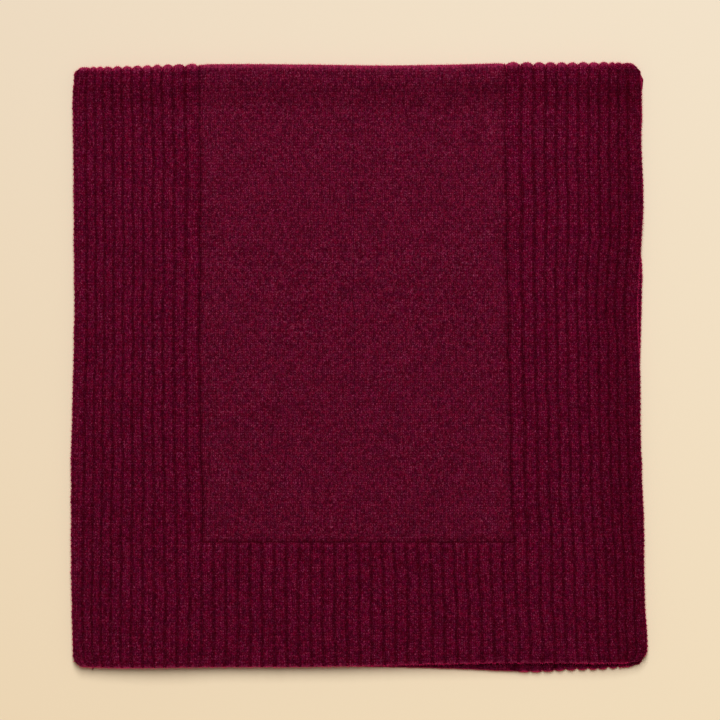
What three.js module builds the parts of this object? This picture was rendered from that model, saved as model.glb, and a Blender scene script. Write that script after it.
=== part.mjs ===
// A knitted wool scarf folded in quarters and laid flat, with its folded edge at +Y and its ends at -Y.
// Millimetres, +Z up. The origin is the middle of the footprint, on the surface that it lies on.
// It is knitted in one: ribs along both sides and across each end, round a plain panel.
import * as THREE from "three";

const END_RIBS = 26;
const PANEL_COLUMNS = 12;
const CLEARANCE = 0.3;

// Cloth: the plain inside carries the wall, and the ribs stand on its outer face.
const RIB_WALL = 1.6;
const RIB_RISE = 1.4;
const PANEL_WALL = 2.3;
const UNDER_LEAF_WALL = 2.8;
const FOLDED_PAIR = 5.6;
const TAIL_WALL = 2.8;

// Lie of the folded scarf, seen from above.
const HEM_Y = -132.1;
const END_Y = -225;
const TURN_Y = 229;
const TAIL_LENGTH = 14;
const TAIL_STEP = 0.9;
const EDGE_FOLLOW = 60;
const CORNER_RIBS = 3;
const RIB_CHANGE = { from: -80, to: -180 };
const END_CORNER = { left: 8.5, right: 10.5 };
const TURN_CORNER = { left: 4, right: 6 };
const TURN_SHIFT = { left: 0, right: 1.4 };

const SELVEDGE = [
  { y: -225, left: -216.6, right: 218.1 },
  { y: -210, left: -216.9, right: 217.9 },
  { y: -180, left: -217.5, right: 216.2 },
  { y: -120, left: -218.1, right: 215.3 },
  { y: -60, left: -217.8, right: 213.2 },
  { y: 0, left: -216.3, right: 212.3 },
  { y: 46, left: -215.5, right: 210.6 },
  { y: 92, left: -215.9, right: 213.4 },
  { y: 122, left: -216.0, right: 214.9 },
  { y: 170, left: -216.5, right: 213.4 },
  { y: 212, left: -216.8, right: 214.2 },
  { y: 229, left: -216.0, right: 214.6 },
];

const PANEL_LINE = [
  { y: -225, left: -118.9, right: 120.4 },
  { y: -157, left: -118.3, right: 118.0 },
  { y: -115, left: -117.9, right: 115.9 },
  { y: -2, left: -120.0, right: 113.2 },
  { y: 149, left: -119.6, right: 110.8 },
  { y: 229, left: -121.0, right: 110.4 },
];

// The folded edge, the top leaf's end, and what lies under that end.
const ACROSS = [
  { x: -218, turn: 226.6, end: -226.4, underEnd: -225.2, foldEnd: -225.6 },
  { x: -180, turn: 227.0, end: -227.2, underEnd: -225.8, foldEnd: -226.0 },
  { x: -120, turn: 229.0, end: -226.9, underEnd: -225.8, foldEnd: -226.0 },
  { x: -40, turn: 228.9, end: -226.6, underEnd: -225.6, foldEnd: -226.0 },
  { x: 12, turn: 228.2, end: -225.4, underEnd: -224.4, foldEnd: -227.1 },
  { x: 69, turn: 228.8, end: -223.9, underEnd: -222.6, foldEnd: -228.3 },
  { x: 115, turn: 230.0, end: -223.1, underEnd: -221.8, foldEnd: -230.0 },
  { x: 132, turn: 229.9, end: -223.1, underEnd: -221.8, foldEnd: -230.2 },
  { x: 155, turn: 229.9, end: -223.1, underEnd: -221.8, foldEnd: -229.3 },
  { x: 185, turn: 230.2, end: -223.5, underEnd: -222.2, foldEnd: -228.2 },
  { x: 218, turn: 229.6, end: -222.2, underEnd: -221.2, foldEnd: -225.6 },
];

// How far the leaves below stand in from the top leaf's selvedge; below zero they show past it.
const UNDER_INSET = [
  { y: -225, left: 1.6, right: 1.6 },
  { y: -100, left: 1.0, right: 1.0 },
  { y: 0, left: 1.2, right: 0.4 },
  { y: 25, left: 1.3, right: -2.2 },
  { y: 46, left: 1.3, right: -3.0 },
  { y: 70, left: 1.2, right: -2.4 },
  { y: 92, left: 1.0, right: 0.6 },
  { y: 150, left: 1.4, right: 1.2 },
  { y: 229, left: 2.0, right: 1.6 },
];
const FOLDED_INSET = 0.9;

// Rib widths from the selvedge inwards, beside the panel and beside the end ribs.
const BORDER_RIB = [
  { besidePanel: 9.6, besideEnd: 7.9 },
  { besidePanel: 7.1, besideEnd: 7.3 },
  { besidePanel: 6.9, besideEnd: 7.0 },
  { besidePanel: 7.3, besideEnd: 7.5 },
  { besidePanel: 7.5, besideEnd: 7.8 },
  { besidePanel: 7.7, besideEnd: 8.2 },
  { besidePanel: 7.7, besideEnd: 8.4 },
  { besidePanel: 7.8, besideEnd: 8.5 },
  { besidePanel: 7.8, besideEnd: 8.9 },
  { besidePanel: 8.3, besideEnd: 9.3 },
  { besidePanel: 9.2, besideEnd: 9.3 },
  { besidePanel: 10.6, besideEnd: 9.1 },
];

// One rib across: a narrow purl valley, then two knit wales in a round hump.
const RIB_SECTION = [
  { at: 0, rise: 0 },
  { at: 0.2, rise: 0.82 },
  { at: 0.5, rise: 1 },
  { at: 0.8, rise: 0.82 },
];

// Height of the leaves below, as a share of their full height.
const HEAP_ACROSS = [
  { inFromEdge: 0, share: 0.62 },
  { inFromEdge: 10, share: 0.74 },
  { inFromEdge: 24, share: 0.87 },
  { inFromEdge: 42, share: 0.96 },
  { inFromEdge: 60, share: 1 },
  { inFromEdge: 92, share: 1 },
  { inFromEdge: 112, share: 0.92 },
  { inFromEdge: 145, share: 0.91 },
  { inFromEdge: 180, share: 0.9 },
  { inFromEdge: 217, share: 0.9 },
];
const HEAP_ALONG = [
  { y: -225, share: 0.82 },
  { y: -205, share: 0.93 },
  { y: -175, share: 1 },
  { y: 120, share: 1 },
  { y: 160, share: 0.95 },
  { y: 183, share: 0.88 },
  { y: 196, share: 0.86 },
  { y: 208, share: 0.97 },
  { y: 217, share: 1.1 },
  { y: 229, share: 1.14 },
];

const LEAF_ROWS = [-170, -132, -90, -30, 30, 90, 130, 160, 183, 196, 208, 216];
const END_ROWS = [0, 1.3, 3.5, 7, 11, 22];
const TURN_ANGLES = [90, 62, 36, 12, -12, -36, -62, -90];
const END_THINNING = 0.45;
const BACK_TURN_ANGLES = [14, 38, 64, 90];

// Inside the turn: how far on from its centre, in radii, and how much of the leaf is rounded off.
const INNER_TURN = [
  { forward: 0, taper: 0 },
  { forward: 0.42, taper: 0.3 },
  { forward: 0.68, taper: 0.58 },
];

// Edges of the leaves below, from their underside up: one rounded edge, or two with a groove.
const EDGE_ROUND = 1;
const LEAST_COLUMN = 1.5;
const ONE_EDGE = [{ depth: 0, up: 0.5 }];
const TWO_EDGES = [
  { depth: 0, up: 0.25 },
  { depth: 1.7, up: 0.5 },
  { depth: 0, up: 0.75 },
];

const YARN = { colour: 0x540c23, ribShade: 0x4e0a20, underShade: 0x46091c, roughness: 0.95 };

// Straight-line reading of a short table.
function read(table, key, at, column) {
  const last = table.length - 1;
  if (at <= table[0][key]) return table[0][column];
  if (at >= table[last][key]) return table[last][column];
  const i = table.findIndex((row) => row[key] > at);
  const t = (at - table[i - 1][key]) / (table[i][key] - table[i - 1][key]);
  return THREE.MathUtils.lerp(table[i - 1][column], table[i][column], t);
}

const selvedge = (side, y) => read(SELVEDGE, "y", y, side);
const panelLine = (side, y) => read(PANEL_LINE, "y", y, side);
const inwards = (side) => (side === "left" ? 1 : -1);

function heap(x, y) {
  const fromEdge = Math.min(x - selvedge("left", y), selvedge("right", y) - x);
  return read(HEAP_ACROSS, "inFromEdge", fromEdge, "share") * read(HEAP_ALONG, "y", y, "share");
}
const foldedTop = (x, y) => FOLDED_PAIR * heap(x, y);
const underTop = (x, y) => foldedTop(x, y) + CLEARANCE + UNDER_LEAF_WALL * heap(x, y);
const leafInside = (x, y) => underTop(x, y) + CLEARANCE;
const tailInside = (x) => TAIL_WALL * heap(x, TURN_Y);

// A straight row near the turn or an end is moved on to follow that edge's own line.
function followed(y, x, endColumn) {
  const column = y > 0 ? "turn" : endColumn;
  const nominal = y > 0 ? TURN_Y : END_Y;
  const weight = Math.max(0, 1 - Math.abs(y - nominal) / EDGE_FOLLOW);
  return y + (read(ACROSS, "x", x, column) - nominal) * weight;
}

// Where a row's height is read: along the turn's own line, or at its true place near the ends.
const heightRow = (nominal, y) => (nominal > 0 ? nominal : y);

// How far a rounded corner draws the selvedge in, at a distance from the end.
function cornerDraw(radius, fromEnd) {
  if (fromEnd >= radius) return 0;
  return radius - Math.sqrt(radius * radius - (radius - fromEnd) ** 2);
}

// Stations along the top leaf: its end, the leaf, the turn and the tail under it.
function leafStations(fromY, toEnd) {
  const onEnd = END_ROWS.map((d) => ({ kind: "leaf", y: END_Y + d, fromEnd: d }));
  onEnd[0].thin = END_THINNING;
  const onLeaf = LEAF_ROWS.map((y) => ({ kind: "leaf", y, fromEnd: y - END_Y }));
  const first = { kind: "leaf", y: fromY, fromEnd: fromY - END_Y };
  return toEnd ? [...onEnd, ...onLeaf] : [first, ...onLeaf.filter((s) => s.y > fromY + 1)];
}
const TURN_STATIONS = TURN_ANGLES.map((angle) => ({ kind: "turn", y: TURN_Y, angle }));
const TAIL_STATION = { kind: "tail", y: TURN_Y, angle: -90 };

// The round hollow inside the turn at x.
function turnAt(x) {
  const high = leafInside(x, TURN_Y);
  const low = tailInside(x);
  const radius = (high - low) / 2;
  const centreY = read(ACROSS, "x", x, "turn") - radius - RIB_WALL - RIB_RISE;
  return { radius, centreY, centreZ: (high + low) / 2 };
}

// The inner face at x: its point, the way out of it, and how the rib relief fades under the turn.
function innerFace(station, x) {
  if (station.kind === "leaf") {
    const y = followed(station.y, x, "end");
    const z = leafInside(x, heightRow(station.y, y));
    return { y, z, outY: 0, outZ: 1, relief: 1, under: 0 };
  }
  const { radius, centreY, centreZ } = turnAt(x);
  const angle = THREE.MathUtils.degToRad(station.angle);
  const y = centreY + radius * Math.cos(angle) - (station.kind === "tail" ? TAIL_LENGTH : 0);
  const under = THREE.MathUtils.smoothstep(-station.angle, 0, 90);
  const z = centreZ + radius * Math.sin(angle);
  return { y, z, outY: Math.cos(angle), outZ: Math.sin(angle), relief: 1 - under, under };
}

// Point of the cloth at x, lifted off the inner face; under the turn the outer face ends flat.
function clothPoint(station, x, wall, rise, outer) {
  const face = innerFace(station, x);
  const full = wall + rise * face.relief;
  let lift = outer ? THREE.MathUtils.lerp(full, tailInside(x), face.under) : 0;
  let start = 0;
  if (station.thin) {
    start = (wall * (1 - station.thin)) / 2;
    lift = outer ? start + lift * station.thin : start;
  }
  return new THREE.Vector3(x, face.y + face.outY * lift, face.z + face.outZ * lift);
}

// Selvedge of the top leaf at a station, drawn in at the end's corner and round the turn.
function edgeShift(side, station) {
  if (station.kind === "leaf") return cornerDraw(END_CORNER[side], station.fromEnd);
  const round = Math.cos(THREE.MathUtils.degToRad(station.angle)) ** 2;
  const under = (90 - station.angle) / 180;
  return TURN_CORNER[side] * round - TURN_SHIFT[side] * under;
}

// Valleys between the ribs of one border, from left to right.
function borderValleys(side, station) {
  const besideEnd = THREE.MathUtils.smoothstep(-station.y, -RIB_CHANGE.from, -RIB_CHANGE.to);
  const widths = BORDER_RIB.map((r) => THREE.MathUtils.lerp(r.besidePanel, r.besideEnd, besideEnd));
  const total = widths.reduce((sum, w) => sum + w, 0);
  const edge = selvedge(side, station.y);
  const line = panelLine(side, station.y) - (inwards(side) * CLEARANCE) / 2;
  let run = 0;
  const valleys = [edge];
  for (const width of widths) {
    run += width;
    valleys.push(edge + (line - edge) * (run / total));
  }
  const shift = edgeShift(side, station) * inwards(side);
  const drawn = valleys.map((x, i) => x + shift * Math.max(0, 1 - i / CORNER_RIBS));
  return side === "left" ? drawn : drawn.reverse();
}

function evenValleys(fromX, toX, count) {
  return Array.from({ length: count + 1 }, (_, i) => fromX + ((toX - fromX) * i) / count);
}

// Outer columns of a ribbed strip: each valley and hump, with a low last valley.
function ribColumns(valleys) {
  const columns = [];
  for (let i = 0; i + 1 < valleys.length; i += 1)
    for (const { at, rise } of RIB_SECTION)
      columns.push({ x: THREE.MathUtils.lerp(valleys[i], valleys[i + 1], at), rise });
  columns.push({ x: valleys.at(-1), rise: 0 });
  return columns;
}

// One closed loop of cloth at a station: outer face one way, plain inner face back.
function clothLoop(station, wall, rise, outer, inner) {
  const over = outer.map((c) => clothPoint(station, c.x, wall, rise * c.rise, true));
  const back = inner.map((x) => clothPoint(station, x, wall, 0, false)).reverse();
  return [...over, ...back];
}

// A closed solid from equal loops: sides between neighbours, and a cap at each end.
function loft(loops, capOf) {
  const count = loops[0].length;
  const points = loops.flat();
  const faces = [];
  for (let j = 0; j + 1 < loops.length; j += 1)
    for (let i = 0; i < count; i += 1) {
      const a = j * count + i;
      const b = j * count + ((i + 1) % count);
      faces.push(a, b, a + count, b, b + count, a + count);
    }
  const last = points.length - count;
  for (const [a, b, c] of capOf(loops[0])) faces.push(a, c, b);
  for (const [a, b, c] of capOf(loops.at(-1))) faces.push(last + a, last + b, last + c);
  const geometry = new THREE.BufferGeometry().setFromPoints(points);
  geometry.setIndex(faces);
  geometry.computeVertexNormals();
  return geometry;
}

// End triangles of a loop: bays between its outer and inner columns, and a fan at each edge.
function bayCap(outerPerBay, sidePoints) {
  return (loop) => {
    const bays = (loop.length - 2 * sidePoints - 2) / (outerPerBay + 1);
    const outerLast = bays * outerPerBay;
    const inner = (i) => outerLast + 1 + sidePoints + bays - i;
    const faces = [];
    for (let i = 0; i < bays; i += 1) {
      const start = i * outerPerBay;
      for (let k = 0; k < outerPerBay; k += 1)
        faces.push([start + k, start + k + 1, inner(k < outerPerBay / 2 ? i : i + 1)]);
      faces.push([start + Math.ceil(outerPerBay / 2), inner(i + 1), inner(i)]);
    }
    for (let k = 0; k < sidePoints; k += 1) {
      const right = outerLast + k;
      const left = inner(0) + k;
      faces.push([outerLast, right + 1, right + 2], [0, left, left + 1]);
    }
    return faces;
  };
}

const RIB_CAP = bayCap(RIB_SECTION.length, 0);

function mesh(name, geometry, color) {
  const material = new THREE.MeshStandardMaterial({ color, roughness: YARN.roughness, metalness: 0 });
  const made = new THREE.Mesh(geometry, material);
  made.name = name;
  return made;
}

function ribBorder(side) {
  const stations = [...leafStations(END_Y, true), ...TURN_STATIONS, TAIL_STATION];
  const loops = stations.map((station) => {
    const valleys = borderValleys(side, station);
    return clothLoop(station, RIB_WALL, RIB_RISE, ribColumns(valleys), valleys);
  });
  return mesh(side + "_rib_border", loft(loops, RIB_CAP), YARN.ribShade);
}

function betweenBorders(station) {
  const half = CLEARANCE / 2;
  return [panelLine("left", station.y) + half, panelLine("right", station.y) - half];
}

function centrePanel() {
  const stations = [...leafStations(HEM_Y + CLEARANCE / 2, false), ...TURN_STATIONS, TAIL_STATION];
  const loops = stations.map((station) => {
    const columns = evenValleys(...betweenBorders(station), PANEL_COLUMNS);
    const outer = columns.map((x) => ({ x, rise: 0 }));
    return clothLoop(station, PANEL_WALL, 0, outer, columns);
  });
  return mesh("centre_panel", loft(loops, bayCap(1, 0)), YARN.colour);
}

function endRib() {
  const rows = leafStations(END_Y, true).filter((s) => s.y < HEM_Y - 1);
  const hemY = HEM_Y - CLEARANCE / 2;
  rows.push({ kind: "leaf", y: hemY, fromEnd: hemY - END_Y });
  const loops = rows.map((station) => {
    const valleys = evenValleys(...betweenBorders(station), END_RIBS);
    return clothLoop(station, RIB_WALL, RIB_RISE, ribColumns(valleys), valleys);
  });
  return mesh("end_rib", loft(loops, RIB_CAP), YARN.ribShade);
}

// Columns of the leaves below, at the breaks of the heap's own section and clear of a drawn corner.
function slabColumns(y, edges) {
  const left = edges.left + EDGE_ROUND;
  const right = edges.right - EDGE_ROUND;
  const steps = HEAP_ACROSS.map((row) => row.inFromEdge);
  const apart = (i) => (i + 1) * LEAST_COLUMN;
  const fromLeft = steps.map((step, i) => Math.max(selvedge("left", y) + step, left + apart(i)));
  const fromRight = steps.map((step, i) => Math.min(selvedge("right", y) - step, right - apart(i)));
  return [left, ...fromLeft, ...fromRight.slice(0, -1).reverse(), right];
}

// One closed loop of a slab: top, right edge, underside, left edge.
function slabLoop(station, edgeProfile) {
  const { edges } = station;
  const at = (x, up) => {
    const { y, low, high } = station.face(x);
    return new THREE.Vector3(x, y, THREE.MathUtils.lerp(low, high, up));
  };
  const side = (edge, inward) =>
    edgeProfile.map(({ depth, up }) => at(edge + inward * depth * station.groove, up));
  const columns = slabColumns(station.y, edges);
  const top = columns.map((x) => at(x, 1));
  const bottom = columns.map((x) => at(x, 0)).reverse();
  return [...top, ...side(edges.right, -1).reverse(), ...bottom, ...side(edges.left, 1)];
}

function slabEdges(station, inset) {
  const edge = (side) => {
    const drawn = cornerDraw(END_CORNER[side], station.fromEnd);
    const under = read(UNDER_INSET, "y", station.y, side) + inset + drawn;
    return selvedge(side, station.y) + inwards(side) * under;
  };
  return { left: edge("left"), right: edge("right") };
}

function slabStation(y, endColumn, inset, low, high, groove = 1) {
  const fromEnd = y - END_Y;
  const face = (x) => {
    const lying = followed(y, x, endColumn);
    const row = heightRow(y, lying);
    return { y: lying, low: low(x, row), high: high(x, row) };
  };
  return { y, fromEnd, groove, face, edges: slabEdges({ y, fromEnd }, inset) };
}

// A row inside the turn, where the slab's face towards the cloth is rounded off.
function turnStation({ forward, taper }, inset, low, high, groove) {
  const face = (x) => {
    const { radius, centreY } = turnAt(x);
    const thickness = high(x, TURN_Y) - low(x, TURN_Y);
    const cut = Math.abs(taper) * thickness;
    const lifted = low(x, TURN_Y) + (taper > 0 ? cut : 0);
    const lowered = high(x, TURN_Y) - (taper < 0 ? cut : 0);
    return { y: centreY + radius * forward, low: lifted, high: lowered };
  };
  const place = { y: TURN_Y, fromEnd: TURN_Y - END_Y };
  return { ...place, groove, face, edges: slabEdges(place, inset) };
}

function underLeaf() {
  const low = (x, y) => foldedTop(x, y) + CLEARANCE;
  const rows = [...END_ROWS.map((d) => END_Y + d), ...LEAF_ROWS];
  const stations = rows.map((y) => slabStation(y, "underEnd", 0, low, underTop));
  const whole = stations[0].face;
  stations[0].face = (x) => {
    const { y, low: bottom, high: top } = whole(x);
    const middle = (bottom + top) / 2;
    const half = ((top - bottom) * END_THINNING) / 2;
    return { y, low: middle - half, high: middle + half };
  };
  for (const row of INNER_TURN)
    stations.push(turnStation({ ...row, taper: -row.taper }, 0, low, underTop, 1));
  const loops = stations.map((s) => slabLoop(s, ONE_EDGE));
  return mesh("under_leaf", loft(loops, bayCap(1, ONE_EDGE.length)), YARN.underShade);
}

// The round fold that joins the two lowest leaves at the scarf's middle.
function backTurnStation(degrees) {
  const angle = THREE.MathUtils.degToRad(degrees);
  const forward = 1 - Math.cos(angle);
  const face = (x) => {
    const foldEnd = read(ACROSS, "x", x, "foldEnd");
    const radius = foldedTop(x, foldEnd) / 2;
    const half = radius * Math.sin(angle);
    return { y: foldEnd + radius * forward, low: radius - half, high: radius + half };
  };
  const place = { y: END_Y, fromEnd: (FOLDED_PAIR / 2) * forward };
  return { ...place, groove: Math.sin(angle), face, edges: slabEdges(place, FOLDED_INSET) };
}

// A row where the underside steps up to clear the top leaf's tail.
function tailStation(back, low, groove) {
  const place = { y: TURN_Y - TAIL_LENGTH, fromEnd: TURN_Y - TAIL_LENGTH - END_Y };
  const face = (x) => {
    const y = turnAt(x).centreY - TAIL_LENGTH - back;
    return { y, low: low(x), high: foldedTop(x, y) };
  };
  return { ...place, groove, face, edges: slabEdges(place, FOLDED_INSET) };
}

function foldedLeaves() {
  const onSurface = () => 0;
  const aboveTail = (x) => tailInside(x) + CLEARANCE;
  const nearEnd = END_ROWS.filter((d) => d > FOLDED_PAIR).map((d) => END_Y + d);
  const lying = [...nearEnd, ...LEAF_ROWS.filter((y) => y < TURN_Y - 2 * TAIL_LENGTH)];
  const stations = [
    ...BACK_TURN_ANGLES.map(backTurnStation),
    ...lying.map((y) => slabStation(y, "foldEnd", FOLDED_INSET, onSurface, foldedTop)),
    tailStation(TAIL_STEP, onSurface, 1),
    tailStation(CLEARANCE, aboveTail, 0),
    slabStation(LEAF_ROWS.at(-1), "foldEnd", FOLDED_INSET, aboveTail, foldedTop, 0),
    ...INNER_TURN.map((row) => turnStation(row, FOLDED_INSET, aboveTail, foldedTop, 0)),
  ];
  const loops = stations.map((s) => slabLoop(s, TWO_EDGES));
  return mesh("folded_leaves", loft(loops, bayCap(1, TWO_EDGES.length)), YARN.underShade);
}

const group = new THREE.Group();
group.add(ribBorder("left"), ribBorder("right"), centrePanel(), endRib());
group.add(underLeaf(), foldedLeaves());

export default group;
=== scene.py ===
import math

import bmesh
import bpy
import numpy as np
from mathutils import Matrix, Vector


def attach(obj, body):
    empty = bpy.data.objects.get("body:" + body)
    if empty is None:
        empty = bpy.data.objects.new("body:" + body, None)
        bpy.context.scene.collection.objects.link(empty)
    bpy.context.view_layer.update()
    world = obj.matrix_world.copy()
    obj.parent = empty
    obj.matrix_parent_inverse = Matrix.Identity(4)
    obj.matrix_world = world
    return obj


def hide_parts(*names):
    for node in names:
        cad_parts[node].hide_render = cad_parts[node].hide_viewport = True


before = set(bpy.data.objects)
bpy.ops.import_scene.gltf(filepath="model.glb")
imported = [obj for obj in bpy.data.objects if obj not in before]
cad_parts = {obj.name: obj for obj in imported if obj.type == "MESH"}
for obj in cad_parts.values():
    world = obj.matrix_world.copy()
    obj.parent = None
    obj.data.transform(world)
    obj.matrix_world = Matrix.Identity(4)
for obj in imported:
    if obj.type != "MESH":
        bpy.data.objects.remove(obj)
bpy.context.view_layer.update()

# Lowest leaf
# The scarf is folded in quarters. From its end on top, the cloth goes round the folded edge at +Y and
# comes back as this leaf, flat on the surface. Wool, knitted in one, ribbed along both selvedges.
# Millimetres below, until a wall's points are turned to metres.
MM = 0.001
COURSE = 2.056
END_Y = -225.0
ARC_Y = 220.2
CLEARANCE = 0.3
RIB_WALL = 1.6
RIB_RISE = 1.4
FOLDED_PAIR = 5.6
ONE_LEAF = 2.8
HALF_GAP = 0.1
TAIL_LENGTH = 14.0
TAIL_BLEND = (165.0, 206.0)
FOLDED_INSET = 0.9
EDGE_FOLLOW = 60.0
EDGE_POINTS = 5
# A rounded edge gets a painted highlight, and an underside painted shade.
EDGE_HIGHLIGHT = 1.5
UNDERSIDE_SHADE = 0.4
SHARP_EDGE = math.radians(80)
STRIP_COURSES = 12
FOLD_STRIP_Y = END_Y + ONE_LEAF + STRIP_COURSES * COURSE
END_CORNER = {"left": 8.5, "right": 10.5}
INWARDS = {"left": 1, "right": -1}

SELVEDGE_Y, LEFT_SELVEDGE, RIGHT_SELVEDGE = np.array([
    (-225, -215.5, 217.6),
    (-210, -215.8, 217.4),
    (-180, -216.4, 215.7),
    (-120, -217.0, 214.8),
    (-60, -216.7, 212.7),
    (0, -215.2, 211.8),
    (46, -214.4, 210.1),
    (92, -214.8, 212.9),
    (122, -214.9, 214.4),
    (170, -215.4, 212.9),
    (212, -215.7, 213.7),
    (229, -214.9, 214.1),
]).T
SELVEDGE = {"left": LEFT_SELVEDGE, "right": RIGHT_SELVEDGE}

# The folded edge, the top leaf's end, and what lies under that end, from left to right.
ACROSS_X, TURN_LINE, END_LINE, SECOND_END, FOLD_LINE = np.array([
    (-218, 226.5, -225.9, -225.0, -225.4),
    (-180, 226.9, -226.7, -225.6, -225.8),
    (-120, 228.9, -226.2, -225.5, -225.8),
    (-40, 228.8, -225.9, -225.3, -225.8),
    (12, 228.1, -225.0, -224.2, -226.8),
    (69, 228.7, -223.5, -222.3, -228.0),
    (115, 229.9, -222.7, -221.5, -229.9),
    (132, 229.9, -222.7, -221.5, -230.4),
    (155, 229.8, -222.7, -221.5, -229.3),
    (185, 230.1, -223.1, -221.9, -228.3),
    (218, 229.5, -221.8, -221.0, -225.2),
]).T

# How far the leaves below stand in from the top leaf's selvedge; below zero they show past it.
INSET_Y, LEFT_INSET, RIGHT_INSET = np.array([
    (-225, 1.6, 1.6),
    (-100, 1.0, 1.0),
    (0, 1.2, 0.4),
    (25, 1.3, -2.2),
    (46, 1.3, -3.0),
    (70, 1.2, -2.4),
    (92, 1.0, 0.6),
    (150, 1.4, 1.2),
    (208, 1.6, 1.5),
    (ARC_Y, 3.2, 4.6),
]).T
UNDER_INSET = {"left": LEFT_INSET, "right": RIGHT_INSET}

# Height of the leaves below, as a share of their full height: in from the selvedge, and along.
HEAP_IN, HEAP_ACROSS = np.array([
    (0, 0.62),
    (10, 0.74),
    (24, 0.87),
    (42, 0.96),
    (60, 1),
    (92, 1),
    (112, 0.92),
    (145, 0.91),
    (180, 0.9),
    (217, 0.9),
]).T
HEAP_Y, HEAP_ALONG = np.array([
    (-225, 0.82),
    (-205, 0.93),
    (-175, 1),
    (120, 1),
    (160, 0.95),
    (180, 0.88),
    (194, 0.83),
    (206, 0.92),
    (215, 1.1),
    (ARC_Y, 1.14),
]).T

# Slow unevenness of cloth that was folded by hand: wavelength, direction in degrees, phase, share.
WAVES = [
    (118, 18, 0.4, 0.016),
    (74, 97, 2.1, 0.013),
    (53, 143, 4.4, 0.009),
    (39, 62, 1.3, 0.006),
]

# Small knots along a selvedge, one to two courses, and its slow wander.
KNOT = 0.30
HALF_KNOT = 0.10
EDGE_WANDER = 0.16
WANDER_COURSES = 3

draw = np.random.default_rng(41)


def read(places, values, at):
    """A smooth line through a short table, read at every place in an array."""
    slopes = np.gradient(values, places)
    at = np.clip(at, places[0], places[-1])
    i = np.clip(np.searchsorted(places, at, side="right") - 1, 0, len(places) - 2)
    span = places[i + 1] - places[i]
    t = (at - places[i]) / span
    ends = (1 + 2 * t) * (1 - t) ** 2 * values[i] + t**2 * (3 - 2 * t) * values[i + 1]
    return ends + t * (1 - t) * span * ((1 - t) * slopes[i] - t * slopes[i + 1])


def ease(low, high, at):
    """Smooth step from 0 at low to 1 at high."""
    t = np.clip((at - low) / (high - low), 0, 1)
    return t * t * (3 - 2 * t)


def rounded(at):
    """Quarter circle from 0 to 1, as at the edge of a thick cloth."""
    return np.sqrt(1 - (1 - np.clip(at, 0, 1)) ** 2)


def from_selvedge(x, y):
    """How far in a place lies from the nearer selvedge."""
    return np.minimum(x - read(SELVEDGE_Y, LEFT_SELVEDGE, y), read(SELVEDGE_Y, RIGHT_SELVEDGE, y) - x)


def heap(x, y):
    """Share of the full height of the leaves below, at each place."""
    share = read(HEAP_IN, HEAP_ACROSS, from_selvedge(x, y)) * read(HEAP_Y, HEAP_ALONG, y)
    for wavelength, degrees, phase, depth in WAVES:
        turned = x * math.cos(math.radians(degrees)) + y * math.sin(math.radians(degrees))
        share = share * (1 + depth * np.sin(2 * math.pi * turned / wavelength + phase))
    return share


def folded_top(x, y):
    """Height of the two lowest leaves."""
    return FOLDED_PAIR * heap(x, y)


def tail_inside(x):
    """Top of the top leaf's tail, where it comes round under the folded edge."""
    return ONE_LEAF * heap(x, ARC_Y)


def leaf_inside(x, y):
    """Underside of the top leaf."""
    return folded_top(x, y) + CLEARANCE + ONE_LEAF * heap(x, y) + CLEARANCE


def turn_hollow(x):
    """Radius and centre of the hollow inside the folded edge."""
    high, low = leaf_inside(x, ARC_Y), tail_inside(x)
    radius = (high - low) / 2
    centre_y = read(ACROSS_X, TURN_LINE, x) - radius - RIB_WALL - RIB_RISE
    return radius, centre_y, (high + low) / 2


def followed(y, x, first_y, first_line):
    """Rows near a leaf's ends, moved on to follow the line of its first row and of the folded edge."""
    near_first = np.clip(1 - (y - first_y) / EDGE_FOLLOW, 0, 1)
    near_turn = np.clip(1 - (ARC_Y - y) / EDGE_FOLLOW, 0, 1)
    return y + (first_line - first_y) * near_first + (turn_hollow(x)[1] - ARC_Y) * near_turn


def corner_draw(radius, from_end):
    """How far a rounded corner draws the selvedge in."""
    short = radius - np.clip(from_end, 0, radius)
    return radius - np.sqrt(radius**2 - short**2)


def lower_selvedge(side, y, inset):
    """Selvedge of a leaf below the top one."""
    drawn = corner_draw(END_CORNER[side], y - END_Y)
    under = read(INSET_Y, UNDER_INSET[side], y) + inset + drawn
    return read(SELVEDGE_Y, SELVEDGE[side], y) + INWARDS[side] * under


def knotted(courses):
    """Reach of a selvedge past its last column."""
    marks = np.arange(-20, 260, WANDER_COURSES)
    wander = np.interp(courses, marks, draw.normal(0, EDGE_WANDER, len(marks)))
    return KNOT * np.cos(math.pi * courses) + HALF_KNOT * np.cos(2 * math.pi * courses) + wander


def rounding(first, last, reach):
    """Points round an edge of the cloth, from one face to the other."""
    angle = np.linspace(math.pi / 2, -math.pi / 2, EDGE_POINTS + 2)[1:-1]
    middle = (first + last) / 2
    half = (first - last) / 2
    points = middle[:, None] + half[:, None] * np.sin(angle)[None, :, None]
    points[:, :, 0] += reach[:, None] * np.cos(angle)
    return points


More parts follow.
